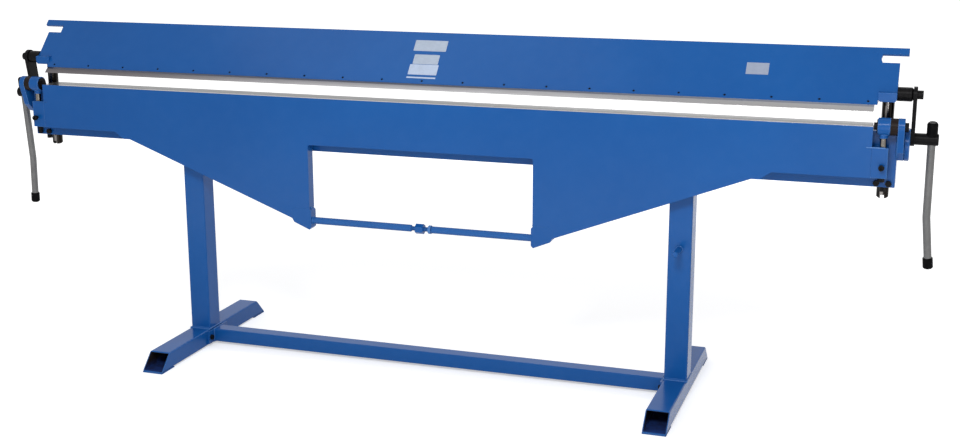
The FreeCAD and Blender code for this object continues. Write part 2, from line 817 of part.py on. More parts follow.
def clamp_base():
    """Thick bar on the clamping blade, with its front face along the plate."""
    top = clamp_z + base_thick
    section = [
        (plate_back_at(clamp_z), clamp_z),
        (web_back, clamp_z),
        (web_back, top),
        (plate_back_at(top), top),
    ]
    return prism_x(section, -clamp_lug_x0, clamp_lug_x0)


def clamp_web():
    """Upright web that closes the beam's triangle at the back."""
    front = web_back - web_thick
    foot_z = clamp_z + base_thick
    section = [
        (front, foot_z),
        (web_back, foot_z),
        (web_back, plate_back_height(web_back)),
        (front, plate_back_height(front)),
    ]
    return prism_x(section, -clamp_lug_x0, clamp_lug_x0)


def clamp_blade():
    """Bare steel blade with its sharp sloped nose."""
    section = [
        (nose_y, nose_z),
        (nose_y + clamp_blade_depth, nose_z),
        (nose_y + clamp_blade_depth, clamp_z),
        (plate_y, clamp_z),
        (nose_y + nose_facet, nose_z + nose_land + nose_rise),
        (nose_y, nose_z + nose_land),
    ]
    return prism_x(section, -blade_half, blade_half)


def clamp_lug():
    """Lug that joins the right pillar to the clamping beam."""
    face_y = plate_front_at(clamp_lug_z0) + clamp_lug_back
    face_z = clamp_lug_z0 + clamp_lug_face
    slope_z = face_z + clamp_lug_slope
    step_y = plate_y + lug_notch * math.sin(lean)
    step_z = clamp_z + lug_notch * math.cos(lean)
    section = [
        (face_y, clamp_lug_z0),
        (face_y, face_z),
        (plate_front_at(slope_z), slope_z),
        (step_y, step_z),
        (step_y + plate_thick * math.cos(lean), step_z - plate_thick * math.sin(lean)),
        (plate_back_at(clamp_lug_z1), clamp_lug_z1),
        (web_back, clamp_lug_z1),
        (web_back, clamp_lug_z0),
    ]
    lug = prism_x(section, clamp_lug_x0, clamp_end)
    low = [e for e in edges_along(lug, V(0, 1, 0)) if e.CenterOfMass.z < clamp_lug_z0 + same]
    lug = lug.makeChamfer(clamp_lug_edge, low)
    return lug.cut(round_z(clamp_lug_z0, pillar_z1, pillar_x, pillar_y, pillar_d))


def pillar():
    """Guide pillar that rises and falls in the right end block."""
    bar = round_z(pillar_z0, pillar_z1, pillar_x, pillar_y, pillar_d)
    bar = bar.makeChamfer(pillar_edge, round_edges_at(bar, lambda c: c.z < pillar_z0 + pillar_edge))
    x0 = pillar_x - pillar_slot / 2
    slot = box(x0, x0 + pillar_slot, pillar_y - pillar_d, pillar_y + pillar_d, pillar_z0, pillar_z0 + pillar_slot)
    return bar.cut(slot)


def link_boss():
    """Boss on the end of the clamping beam against which the link's head lies."""
    boss = round_x(clamp_end, disc_out, boss_y, boss_z, boss_d)
    return boss.makeChamfer(boss_edge, round_edges_at(boss, lambda c: c.x > disc_out - boss_edge))


def crank():
    """Shaft, disc and offset journal that lift the clamping beam."""
    disc = round_x(disc_in, disc_out, crank_y, crank_z, crank_disc_d)
    disc = disc.makeChamfer(crank_edge, round_edges_at(disc, lambda c: True))
    shaft = round_x(block_out - shaft_pocket, disc_in, crank_y, crank_z, crank_shaft_d)
    journal = round_x(disc_out, hub_in + journal_socket, journal_y, journal_z, journal_d)
    return disc.fuse(shaft).fuse(journal)


def handle_way(splay, lean_back):
    """Direction down a handle, outward and back by angles in degrees."""
    return V(math.tan(math.radians(splay)), math.tan(math.radians(lean_back)), -1).normalize()


def cap_foot(lean_back):
    """Middle of the flat on the hub where a handle's cap sits."""
    return hub_middle - handle_way(handle_splay, lean_back) * (hub_d / 2 - spot_depth)


def handle_end(lean_back):
    """Lower end of a handle's grip."""
    bend = hub_middle + handle_way(handle_splay, lean_back) * handle_upper
    return bend + handle_way(handle_tip_splay, lean_back) * handle_lower


def handle_hub(lean_back):
    """Hub on the crank's journal, cross-drilled for the handle and faced for its cap."""
    down = handle_way(handle_splay, lean_back)
    hub = round_x(hub_in, hub_out, journal_y, journal_z, hub_d)
    hub = hub.makeChamfer(hub_edge, round_edges_at(hub, lambda c: c.x > hub_out - hub_edge))
    hub = hub.cut(round_x(hub_in, hub_in + journal_socket, journal_y, journal_z, journal_d))
    drill = Part.makeCylinder(handle_d / 2, 2 * hub_d, hub_middle - down * hub_d, down)
    spot = Part.makeCylinder(cap_d / 2 + spot_margin, cap_height, cap_foot(lean_back), -down)
    return hub.cut(drill).cut(spot)


def handle_tube(lean_back):
    """Steel handle with its slight outward bend."""
    down = handle_way(handle_splay, lean_back)
    tip_down = handle_way(handle_tip_splay, lean_back)
    top = hub_middle - down * handle_in_cap
    bend = hub_middle + down * handle_upper
    turn = down.getAngle(tip_down)
    trim = handle_bend_r * math.tan(turn / 2)
    start = bend - down * trim
    finish = bend + tip_down * trim
    inward = (tip_down - down).normalize()
    crest = bend + inward * (handle_bend_r / math.cos(turn / 2) - handle_bend_r)
    path = Part.Wire([
        Part.LineSegment(top, start).toShape(),
        Part.Arc(start, crest, finish).toShape(),
        Part.LineSegment(finish, handle_end(lean_back) - tip_down * grip_end).toShape(),
    ])
    ring = Part.Wire([Part.makeCircle(handle_d / 2, top, down)])
    return path.makePipeShell([ring], True, False)


def handle_cap(lean_back):
    """Stepped round cap over the handle's upper end, seated on the hub."""
    radius = cap_d / 2
    heights = [0, cap_height - cap_crown - cap_shoulder, cap_height - cap_crown, cap_height]
    radii = [radius, radius, radius - cap_shoulder_in, radius - cap_crown_in]
    outline = [V(0, 0, 0)]
    outline += [V(r, 0, h) for r, h in zip(radii, heights)]
    outline.append(V(0, 0, cap_height))
    cap = Part.Face(Part.makePolygon(outline + outline[:1])).revolve(V(0, 0, 0), V(0, 0, 1), 360)
    cap = cap.cut(round_z(0, handle_in_cap - (hub_d / 2 - spot_depth), 0, 0, handle_d))
    down = handle_way(handle_splay, lean_back)
    cap.Placement = FreeCAD.Placement(cap_foot(lean_back), FreeCAD.Rotation(V(0, 0, 1), -down))
    return cap


def handle_grip(lean_back):
    """Grip closed over the handle's lower end."""
    tip_down = handle_way(handle_tip_splay, lean_back)
    mouth = handle_end(lean_back) - tip_down * grip_length
    grip = Part.makeCylinder(grip_d / 2, grip_length, mouth, tip_down)
    grip = grip.makeChamfer(grip_edge, round_edges_at(grip, lambda c: True))
    return grip.cut(Part.makeCylinder(handle_d / 2, grip_length - grip_end, mouth, tip_down))


def link_arm():
    """Flat link from the crank's journal to the clamping beam."""
    arm = hull_x((journal_y, journal_z), link_low_r, (boss_y, boss_z), link_high_r, link_in, link_out)
    arm = arm.cut(round_x(link_in, link_out, journal_y, journal_z, bore(journal_d)))
    return arm.cut(round_x(link_in, link_out, boss_y, boss_z, link_bolt_d))


def link_bolt():
    """Cap bolt in the link's upper end, flush with the link's inner face."""
    head_out = link_out + link_bolt_head
    bolt = round_x(link_in, link_out, boss_y, boss_z, link_bolt_d)
    bolt = bolt.fuse(round_x(link_out, head_out, boss_y, boss_z, link_bolt_head_d))
    socket = hexagon_x(head_out - link_bolt_head / 2, head_out, boss_y, boss_z,
                       link_bolt_head_d * socket_ratio)
    return bolt.cut(socket)


def all_parts():
    """Every node's name with its shape."""
    nodes = {}

    def pair(name, shape):
        nodes[name + "_right"] = shape
        nodes[name + "_left"] = mirrored(shape)

    def handles(name, make):
        nodes[name + "_right"] = make(handle_lean_right)
        nodes[name + "_left"] = mirrored(make(handle_lean_left))

    def group(name, shapes):
        nodes[name] = Part.makeCompound([s for shape in shapes for s in (shape, mirrored(shape))])

    pair("foot", foot())
    group("foot_pads", foot_pads())
    pair("leg", leg())
    nodes["leg_peg"] = leg_peg()
    nodes["stretcher"] = stretcher()
    group("stretcher_flanges", [stretcher_flange()])
    group("stretcher_bolts", stretcher_bolts())
    nodes["bed_beam"] = bed_beam()
    nodes["bed_blade"] = bed_blade()
    pair("end_block", end_block())
    group("end_block_bolts", end_block_bolts() + [under_screw()])
    pair("hinge_lug", hinge_lug())
    pair("hinge_pin", hinge_pin())
    pair("hinge_bush", hinge_bush())
    group("hinge_pin_nuts", [hinge_pin_nut()])
    pair("hinge_eye", hinge_eye())
    nodes["folding_plate"] = folding_plate()
    group("opening_ribs", [opening_rib()])
    pair("truss_bracket", truss_bracket())
    nodes["truss_rod_right"] = truss_rod(rod_inner_right)
    nodes["truss_rod_left"] = mirrored(truss_rod(rod_inner_left))
    nodes["turnbuckle_nut"] = turnbuckle()
    nodes["turnbuckle_locknut"] = turnbuckle_locknut()
    pair("adjuster_block", adjuster_block())
    group("set_screws", [set_screw(), height_screw()])
    nodes["clamp_plate"] = clamp_plate()
    nodes["clamp_base"] = clamp_base()
    nodes["clamp_web"] = clamp_web()
    nodes["clamp_blade"] = clamp_blade()
    nodes["blade_screws"] = blade_screws()
    pair("clamp_lug", clamp_lug())
    pair("pillar", pillar())
    pair("link_boss", link_boss())
    pair("crank", crank())
    handles("handle_hub", handle_hub)
    handles("handle_tube", handle_tube)
    handles("handle_cap", handle_cap)
    handles("handle_grip", handle_grip)
    pair("link_arm", link_arm())
    pair("link_bolt", link_bolt())
    return nodes


os.makedirs("parts", exist_ok=True)
for name, shape in all_parts().items():
    shape.exportStep("parts/" + name + ".step")
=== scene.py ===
import bpy
import math
from mathutils import Matrix, Vector, noise


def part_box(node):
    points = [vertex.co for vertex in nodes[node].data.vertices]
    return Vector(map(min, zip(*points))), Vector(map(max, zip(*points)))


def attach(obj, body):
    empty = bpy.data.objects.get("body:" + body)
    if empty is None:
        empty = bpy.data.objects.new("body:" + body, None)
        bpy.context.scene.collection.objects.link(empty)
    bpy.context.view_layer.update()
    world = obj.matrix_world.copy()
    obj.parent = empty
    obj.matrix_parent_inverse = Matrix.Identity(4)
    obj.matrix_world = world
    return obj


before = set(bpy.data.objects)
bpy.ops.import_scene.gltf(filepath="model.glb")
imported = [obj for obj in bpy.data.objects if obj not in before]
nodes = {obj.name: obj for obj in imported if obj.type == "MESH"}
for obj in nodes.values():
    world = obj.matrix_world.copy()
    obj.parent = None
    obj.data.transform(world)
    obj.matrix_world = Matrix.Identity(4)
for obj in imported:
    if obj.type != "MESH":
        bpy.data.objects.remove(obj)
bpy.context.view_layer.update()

SIDES = (("left", -1), ("right", 1))
WHITE = (1, 1, 1, 1)
COLOUR_A, COLOUR_B, COLOUR_OUT = 6, 7, 2    # the colour sockets of a mix node


def srgb(r, g, b):
    """Linear colour for a shader from red, green and blue of 0 to 255."""
    def one(c):
        c = c / 255
        return c / 12.92 if c <= 0.04045 else ((c + 0.055) / 1.055) ** 2.4
    return one(r), one(g), one(b), 1.0


class Graph:
    """The nodes of a material or of the world, put together call by call."""

    def __init__(self, name, kind=bpy.data.materials, out="ShaderNodeOutputMaterial"):
        self.owner = kind.new(name)
        self.owner.use_nodes = True
        self.tree = self.owner.node_tree
        self.tree.nodes.clear()
        self.out = self.node(out)
        self.place = self.node("ShaderNodeTexCoord").outputs["Object"]

    def node(self, kind, **settings):
        made = self.tree.nodes.new(kind)
        for key, value in settings.items():
            setattr(made, key, value)
        return made

    def plug(self, value, socket):
        """Links an output to a socket, or sets the socket to a plain value."""
        if isinstance(value, bpy.types.NodeSocket):
            self.tree.links.new(value, socket)
        else:
            socket.default_value = value

    def noise(self, scale, detail=3.0, stretch=None, roughness=0.55):
        """Noise of 0 to 1 with cells about 1 / scale metres across, longer where stretch is below 1."""
        vector = self.place
        if stretch:
            mapping = self.node("ShaderNodeMapping")
            self.plug(vector, mapping.inputs["Vector"])
            mapping.inputs["Scale"].default_value = stretch
            vector = mapping.outputs["Vector"]
        made = self.node("ShaderNodeTexNoise")
        self.plug(vector, made.inputs["Vector"])
        made.inputs["Scale"].default_value = scale
        made.inputs["Detail"].default_value = detail
        made.inputs["Roughness"].default_value = roughness
        return made.outputs["Fac"]

    def remap(self, value, low, high, to_low=0.0, to_high=1.0):
        """Clamped straight-line change of a value."""
        made = self.node("ShaderNodeMapRange", clamp=True)
        self.plug(value, made.inputs["Value"])
        for name, number in (("From Min", low), ("From Max", high), ("To Min", to_low), ("To Max", to_high)):
            made.inputs[name].default_value = number
        return made.outputs["Result"]

    def maths(self, operation, a, b=0.0):
        made = self.node("ShaderNodeMath", operation=operation)
        self.plug(a, made.inputs[0])
        self.plug(b, made.inputs[1])
        return made.outputs["Value"]

    def times(self, a, b):
        return self.maths("MULTIPLY", a, b)

    def distance(self, a, b):
        """How far apart two values are."""
        return self.maths("ABSOLUTE", self.maths("SUBTRACT", a, b))

    def blend(self, factor, a, b):
        """Colour a turning into colour b as factor goes from 0 to 1."""
        made = self.node("ShaderNodeMix", data_type="RGBA")
        self.plug(factor, made.inputs["Factor"])
        self.plug(a, made.inputs[COLOUR_A])
        self.plug(b, made.inputs[COLOUR_B])
        return made.outputs[COLOUR_OUT]

    def axis(self, name):
        """One coordinate of the place at rest, in metres."""
        made = self.node("ShaderNodeSeparateXYZ")
        self.plug(self.place, made.inputs["Vector"])
        return made.outputs[name]

    def bevel(self, radius):
        """Normal that is rounded over the edges."""
        made = self.node("ShaderNodeBevel", samples=4)
        made.inputs["Radius"].default_value = radius
        return made.outputs["Normal"]

    def edges(self, rounded):
        """Mask of the edges: 1 where the rounded normal turns well away from the face's own."""
        flat = self.node("ShaderNodeNewGeometry").outputs["True Normal"]
        dot = self.node("ShaderNodeVectorMath", operation="DOT_PRODUCT")
        self.plug(rounded, dot.inputs[0])
        self.plug(flat, dot.inputs[1])
        return self.remap(self.maths("SUBTRACT", 1.0, dot.outputs["Value"]), 0.01, 0.12)

    def bump(self, height, distance, strength, normal=None):
        """Normal of a surface that rises by distance, in metres, where height is 1."""
        made = self.node("ShaderNodeBump")
        self.plug(height, made.inputs["Height"])
        made.inputs["Distance"].default_value = distance
        made.inputs["Strength"].default_value = strength
        if normal is not None:
            self.plug(normal, made.inputs["Normal"])
        return made.outputs["Normal"]

    def seen(self):
        """1 for what the camera, gloss and clear surfaces see, 0 for other light."""
        path = self.node("ShaderNodeLightPath")
        seen = path.outputs["Is Camera Ray"]
        for name in ("Is Glossy Ray", "Is Transmission Ray"):
            seen = self.maths("MAXIMUM", seen, path.outputs[name])
        return seen

    def surface(self, colour, roughness, metallic, normal, specular=0.5):
        """Ends the graph in one Principled shader."""
        shader = self.node("ShaderNodeBsdfPrincipled")
        self.plug(colour, shader.inputs["Base Color"])
        self.plug(roughness, shader.inputs["Roughness"])
        self.plug(metallic, shader.inputs["Metallic"])
        self.plug(normal, shader.inputs["Normal"])
        shader.inputs["Specular IOR Level"].default_value = specular
        self.plug(shader.outputs["BSDF"], self.out.inputs["Surface"])
        return self.owner


BLUE = srgb(21, 88, 160)
BLUE_DEEP = srgb(18, 81, 151)
BLUE_PALE = srgb(110, 158, 218)
STEEL = srgb(176, 173, 171)
STEEL_DARK = srgb(112, 108, 106)

PAINT_SPECULAR = 0.155
RIM_HIGHLIGHT = 0.25              # how far a painted highlight pales the paint on its rims, 0 to 1
RIM_REACH = 0.0022      # width of those rims, in metres
BRIGHT_RIM_HIGHLIGHT = 0.75       # the same for the small machined parts at the ends
BRIGHT_REACH = 0.0035
FACE_RIM_HIGHLIGHT = 0.08         # the same for the two large plates

FOLD_Z = 0.990          # height of the folding axis and of the bed's top
EYE_FOOT = 0.953        # height where the eye's paint ends and its bare stem begins
LUG_FOOT_Z = 0.884      # where the bead up the front of a side lug starts and ends
LUG_HEAD_Z = 0.962
LUG_FRONT_Y = -0.040    # where the bead along the top of a side lug starts and ends
LUG_BACK_Y = 0.030
LEAF_FRONT = -0.0943    # front of the folding plate, in Y
RIB_Y = LEAF_FRONT + 0.015    # where the ribs and brackets meet the back of the folding plate
PLATE_Y = -0.0495       # foot of the clamping plate's front face, in Y
PLATE_Z = 1.0523        # and its height, which is also the top of the clamping blade
PLATE_LEAN = math.radians(42)


def blue_coat(g, rounded, rim_highlight=RIM_HIGHLIGHT):
    """Colour, roughness and normal of the painted surface: finely uneven, with a painted highlight that pales
    its rims.
    """
    broad = g.remap(g.noise(1.3, 3.0), 0.3, 0.7)
    cloudy = g.remap(g.noise(24.0, 5.0), 0.4, 0.75)
    colour = g.blend(broad, BLUE, BLUE_DEEP)
    colour = g.blend(g.times(cloudy, 0.02), colour, BLUE_PALE)
    scuffs = g.remap(g.noise(11.0, 9.0, stretch=(0.35, 1.0, 2.4), roughness=0.8), 0.72, 0.8)
    colour = g.blend(g.times(scuffs, 0.12), colour, BLUE_PALE)
    # Painted highlight: the coat is blended towards BLUE_PALE on its rounded rims.
    colour = g.blend(g.times(g.edges(rounded), rim_highlight), colour, BLUE_PALE)
    rough = g.remap(g.noise(45.0, 4.0), 0.3, 0.7, 0.18, 0.25)
    rough = g.maths("ADD", rough, g.times(scuffs, 0.1))
    peel = g.maths("ADD", g.noise(300.0, 1.0), g.times(g.noise(40.0, 1.0), 2.0))
    return colour, rough, g.bump(peel, 0.00001, 0.6, rounded)


def make_paint(name, rim_highlight=RIM_HIGHLIGHT, pale_highlight=0.0, reach=RIM_REACH, bare_above=None, bare_below=None,
               steel=(STEEL, STEEL_DARK)):
    """Blue paint, with bare steel above or below a height at rest where the part is machined."""
    g = Graph(name)
    colour, rough, normal = blue_coat(g, g.bevel(reach), rim_highlight)
    # Painted highlight: the whole coat is blended towards BLUE_PALE, for beads and rods that catch the light.
    if pale_highlight:
        colour = g.blend(pale_highlight, colour, BLUE_PALE)
    metallic = 0.0
    if bare_above or bare_below:
        soft = 0.0002
        if bare_above:
            bare = g.remap(g.axis("Z"), bare_above - soft, bare_above + soft)
        else:
            bare = g.remap(g.axis("Z"), bare_below - soft, bare_below + soft, 1.0, 0.0)
        grind = g.noise(90.0, 3.0, stretch=(0.15, 6.0, 6.0))
        light, dark = steel
        colour = g.blend(bare, colour, g.blend(grind, dark, light))
        rough = g.maths("ADD", rough, g.times(bare, -0.1))
        metallic = bare
    return g.surface(colour, rough, metallic, normal, PAINT_SPECULAR)


def make_foot_paint(name, middle_x, middle_z, half_x, half_z):
    """Paint of a foot with painted shade inside its tube: near-black and mottled, with a little blue left on
    its lower wall.
    """
    g = Graph(name)
    colour, rough, normal = blue_coat(g, g.bevel(RIM_REACH), 0.5)
    x = g.distance(g.maths("ABSOLUTE", g.axis("X")), middle_x)
    z = g.distance(g.axis("Z"), middle_z)
    inside = g.times(g.maths("LESS_THAN", x, half_x), g.maths("LESS_THAN", z, half_z))
    # Painted shade: the inside of the tube goes from blue on its lower wall to near-black higher up.
    upper = g.remap(g.axis("Z"), 0.008, 0.03)
    shaded_wall = g.blend(upper, srgb(34, 60, 122), srgb(40, 34, 35))
    inside_shade = g.blend(g.remap(g.noise(30.0, 4.0), 0.3, 0.8), shaded_wall, srgb(30, 26, 30))
    return g.surface(g.blend(inside, colour, inside_shade), rough, 0.0, normal, 0.12)


def make_thread_paint(name, pitch, middle_x, half_x):
    """Painted nut with threaded studs: the thread runs round X on both sides of the nut."""
    g = Graph(name)
    colour, rough, normal = blue_coat(g, g.bevel(0.0008))
    x = g.axis("X")
    outside = g.maths("GREATER_THAN", g.distance(x, middle_x), half_x)
    turns = g.maths("PINGPONG", x, pitch / 2)
    crest = g.times(g.times(turns, 2 / pitch), outside)
    colour = g.blend(g.times(crest, 0.45), colour, srgb(74, 104, 150))
    return g.surface(colour, rough, 0.0, g.bump(crest, 0.0009, 0.9, normal), PAINT_SPECULAR)


def make_steel(name, light, dark, grain, rough_low, rough_high, stains=0.25, metallic=1.0):
    """Bare steel with its grinding marks and a few stains."""
    g = Graph(name)
    rounded = g.bevel(0.001)
    marks = g.noise(60.0, 6.0, stretch=grain, roughness=0.7)
    blotches = g.remap(g.noise(14.0, 6.0), 0.45, 0.75)
    colour = g.blend(g.remap(marks, 0.3, 0.7), dark, light)
    colour = g.blend(g.times(blotches, stains), colour, STEEL_DARK)
    rough = g.remap(marks, 0.3, 0.7, rough_low, rough_high)
    return g.surface(colour, rough, metallic, g.bump(marks, 0.00004, 0.6, rounded))


def make_pillar(name, middle_x):
    """Dark oiled pillar, with a painted highlight: a paler strip down its front."""
    g = Graph(name)
    rounded = g.bevel(0.001)
    marks = g.noise(60.0, 5.0, stretch=(5.0, 5.0, 0.6), roughness=0.7)
    # Painted highlight: a strip of paler steel down the front of the pillar, broken up by noise.
    highlight_x = middle_x - 0.003
    across = g.distance(g.maths("ABSOLUTE", g.axis("X")), highlight_x)
    painted_highlight = g.remap(across, 0.0025, 0.0068, 1.0, 0.0)
    painted_highlight = g.times(painted_highlight, g.remap(g.noise(25.0, 4.0), 0.25, 0.5, 0.6, 1.0))
    oiled = g.blend(marks, srgb(36, 33, 31), srgb(26, 24, 23))
    colour = g.blend(painted_highlight, oiled, srgb(112, 109, 107))
    rough = g.remap(marks, 0.3, 0.7, 0.14, 0.24)
    return g.surface(colour, rough, 1.0, g.bump(marks, 0.00002, 0.5, rounded))


def make_blade(name, top):
    """Ground blade: marks along its length, oil stains, dull on top; painted shade darkens it towards the
    left end and under the clamping plate, and a painted reflection brightens its top towards the right end.
    """
    g = Graph(name)
    rounded = g.bevel(0.0008)
    marks = g.noise(70.0, 5.0, stretch=(0.2, 5.0, 5.0), roughness=0.7)
    oil = g.remap(g.noise(1.1, 5.0, stretch=(1.0, 3.0, 3.0)), 0.35, 0.7)
    to_middle = g.remap(g.axis("X"), -1.4, -0.1)
    to_right = g.remap(g.axis("X"), 0.1, 1.3)

    def along(left, middle, right):
        """Painted light and shade that change from the left end to the middle and on to the right end."""
        return g.blend(to_right, g.blend(to_middle, left, middle), right)

    upper = g.remap(g.axis("Z"), top - 0.0003, top - 0.0001)
    # Painted shade: the band just under the top is darker, where the clamping plate shades it.
    high = g.remap(g.axis("Z"), top - 0.017, top - 0.002)
    # Painted reflection and shade: the top and the front go from dark at the left end to bright at the right
    # end.
    top_reflection = along(srgb(80, 78, 86), srgb(104, 106, 114), srgb(226, 227, 230))
    lit_side = along(srgb(112, 108, 111), srgb(156, 156, 158), srgb(168, 167, 168))
    shaded_side = along(srgb(84, 82, 88), srgb(104, 104, 110), srgb(172, 172, 174))
    colour = g.blend(upper, g.blend(high, lit_side, shaded_side), top_reflection)
    colour = g.blend(g.times(g.remap(marks, 0.3, 0.75), 0.2), colour, STEEL_DARK)
    colour = g.blend(g.times(oil, 0.16), colour, srgb(104, 98, 94))
    rough = g.remap(marks, 0.3, 0.7, 0.24, 0.4)
    metallic = g.maths("SUBTRACT", 1.0, g.times(upper, 0.85))
    return g.surface(colour, rough, metallic, g.bump(marks, 0.00004, 0.6, rounded))


def make_black_steel(name):
    """Blackened steel, with a painted highlight on its edges."""
    g = Graph(name)
    rounded = g.bevel(0.001)
    mottle = g.remap(g.noise(120.0, 5.0), 0.35, 0.7)
    colour = g.blend(mottle, srgb(12, 12, 13), srgb(24, 23, 25))
    # Painted highlight: the edges are blended lighter.
    colour = g.blend(g.times(g.edges(rounded), 0.35), colour, srgb(60, 58, 58))
    rough = g.remap(g.noise(200.0, 3.0), 0.3, 0.7, 0.3, 0.46)
    return g.surface(colour, rough, 0.0, g.bump(mottle, 0.00003, 0.5, rounded), 0.07)


def make_plastic(name):
    """Moulded black plastic with a fine grain."""
    g = Graph(name)
    rounded = g.bevel(0.0008)
    grain = g.noise(1400.0, 2.0)
    colour = g.blend(g.remap(g.noise(40.0, 4.0), 0.35, 0.7), srgb(10, 10, 11), srgb(21, 21, 22))
    rough = g.remap(g.noise(90.0, 3.0), 0.3, 0.7, 0.3, 0.42)
    return g.surface(colour, rough, 0.0, g.bump(grain, 0.00004, 0.6, rounded), 0.025)


def make_bush(name):
    """Dark brown sintered bush, a little polished."""
    g = Graph(name)
    rounded = g.bevel(0.0008)
    pores = g.remap(g.noise(500.0, 5.0), 0.3, 0.7)
    colour = g.blend(pores, srgb(20, 14, 13), srgb(38, 28, 26))
    rough = g.remap(pores, 0.0, 1.0, 0.34, 0.5)
    return g.surface(colour, rough, 0.0, g.bump(pores, 0.00003, 0.5, rounded), 0.1)


def make_label(name, light, dark, grain):
    """Blank plate or sticker, a little uneven and dirty."""
    g = Graph(name)
    marks = g.noise(300.0, 4.0, stretch=grain)
    dirt = g.remap(g.noise(35.0, 5.0), 0.45, 0.75)
    colour = g.blend(g.remap(marks, 0.3, 0.7), dark, light)
    colour = g.blend(g.times(dirt, 0.18), colour, srgb(120, 128, 140))
    rough = g.remap(marks, 0.3, 0.7, 0.32, 0.5)
    return g.surface(colour, rough, 0.0, g.bump(marks, 0.00002, 0.5), 0.3)


# Each coat's rims are paled by a painted highlight, strongest on the small machined parts at the ends.
paint = make_paint("paint")
paint_plain = make_paint("paint_plain", FACE_RIM_HIGHLIGHT)
# Welds, rods and the bright bead get a lighter coat as a painted highlight; the turnbuckle's lock nut shares
# the bead's coat.
paint_weld_highlight = make_paint("paint_weld_highlight", 0.3, pale_highlight=0.12)
paint_bright = make_paint("paint_bright", BRIGHT_RIM_HIGHLIGHT, reach=BRIGHT_REACH)
paint_rod_highlight = make_paint("paint_rod_highlight", 0.3, pale_highlight=0.1)
paint_highlight_coat = make_paint("paint_highlight_coat", 0.5, pale_highlight=0.5)
foot_paint = make_foot_paint("foot_paint", middle_x=0.925, middle_z=0.034, half_x=0.037, half_z=0.027)
paint_leaf = make_paint("paint_leaf", FACE_RIM_HIGHLIGHT, bare_above=FOLD_Z - 0.0004)
stem_tones = (srgb(122, 118, 112), srgb(96, 92, 88))
paint_eye = make_paint("paint_eye", BRIGHT_RIM_HIGHLIGHT, reach=BRIGHT_REACH, bare_below=EYE_FOOT, steel=stem_tones)
thread_paint = make_thread_paint("thread_paint", pitch=0.0025, middle_x=0.001, half_x=0.017)

ground_steel = make_steel("ground_steel", srgb(190, 187, 184), srgb(150, 146, 143), grain=(0.25, 5.0, 5.0),
                          rough_low=0.26, rough_high=0.4)
clamp_steel = make_blade("clamp_steel", PLATE_Z)
bed_steel = make_steel("bed_steel", srgb(144, 144, 144), srgb(118, 118, 118), grain=(0.2, 5.0, 5.0),
                       rough_low=0.26, rough_high=0.4, stains=0.15)
pillar_steel = make_pillar("pillar_steel", 1.5655)
handle_steel = make_steel("handle_steel", srgb(118, 118, 118), srgb(100, 100, 100), grain=(1.0, 1.0, 0.7),
                          rough_low=0.46, rough_high=0.56, stains=0.12, metallic=0.6)
black_steel = make_black_steel("black_steel")
plastic = make_plastic("plastic")
bush = make_bush("bush")

plate_metal = make_label("plate_metal", srgb(180, 192, 210), srgb(160, 173, 192), (0.2, 3.0, 3.0))
plate_small = make_label("plate_small", srgb(160, 170, 190), srgb(146, 156, 178), (0.2, 3.0, 3.0))
sticker = make_label("sticker", srgb(186, 200, 223), srgb(174, 189, 214), (1.0, 1.0, 1.0))

by_slot = {
    "blue_paint": paint,
    "bare_steel": ground_steel,
    "black_steel": black_steel,
    "black_plastic": plastic,
    "bush_metal": bush,
}
own = {
    "clamp_plate": paint_plain,
    "folding_plate": paint_leaf,
    "clamp_blade": clamp_steel,
    "bed_blade": bed_steel,
    "turnbuckle_nut": thread_paint,
    "turnbuckle_locknut": paint_highlight_coat,
}
at_both_ends = {
    "foot": foot_paint,
    "truss_rod": paint_rod_highlight,
    "hinge_lug": paint_bright,
    "crank": paint_bright,
    "adjuster_block": paint_bright,
    "hinge_eye": paint_eye,
    "pillar": pillar_steel,
    "handle_tube": handle_steel,
}
for kind, material in at_both_ends.items():
    for side, _ in SIDES:
        own[kind + "_" + side] = material
for name, piece in nodes.items():
    slot = piece.material_slots[0]
    slot.material = own.get(name, by_slot[slot.material.name])


def add_piece(name, vertices, faces, body, material, smooth):
    """Mesh piece that rides on a body."""
    mesh = bpy.data.meshes.new(name)
    mesh.from_pydata(vertices, [], faces)
    mesh.materials.append(material)
    for polygon in mesh.polygons:
        polygon.use_smooth = smooth
    piece = bpy.data.objects.new(name, mesh)
    bpy.context.scene.collection.objects.link(piece)
    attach(piece, body)


def bead_path(corners, closed, pitch):
    """Points about a pitch apart along a run of corner points."""
    ends = corners[1:] + corners[:1] if closed else corners[1:]
    path = []
    for a, b in zip(corners, ends):
        steps = max(2, round((b - a).length / pitch))
        path += [a.lerp(b, i / steps) for i in range(steps)]
    return path if closed else path + corners[-1:]


def weld(name, runs, body, radius, closed=False, material=paint_weld_highlight):
    """Weld beads along runs of corner points, as one piece: overlapping ripples, half sunk into the metal."""
    sides = 7
    blunt = 0.45    # share of the radius at an open end
    vertices = []
    faces = []
    for run in runs:
        corners = [Vector(c) for c in run]
        path = bead_path(corners, closed, pitch=0.0035)
        flat = (corners[1] - corners[0]).cross(corners[-1] - corners[0])
        if flat.length < 1e-9:
            flat = (corners[1] - corners[0]).orthogonal()
        flat.normalize()
        start = len(vertices)
        count = len(path)
        last = count - 1
        for i, point in enumerate(path):
            before = path[i - 1] if closed or i else point
            after = path[(i + 1) % count] if closed or i < last else point
            across = (after - before).cross(flat).normalized()
            ripple = 1 + 0.12 * (i % 2) + 0.3 * noise.noise(point * 150)
            size = radius * ripple * (blunt if not closed and i in (0, last) else 1)
            for k in range(sides):
                turn = math.tau * k / sides
                vertices.append(point + size * (math.cos(turn) * across + math.sin(turn) * flat))
        for i in range(count if closed else last):
            low = start + i * sides
            high = start + (i + 1) % count * sides
            for k in range(sides):
                beside = (k + 1) % sides
                faces.append((low + k, low + beside, high + beside, high + k))
        if not closed:
            faces.append([start + k for k in range(sides)][::-1])
            faces.append([start + last * sides + k for k in range(sides)])
    add_piece(name, vertices, faces, body, material, smooth=True)


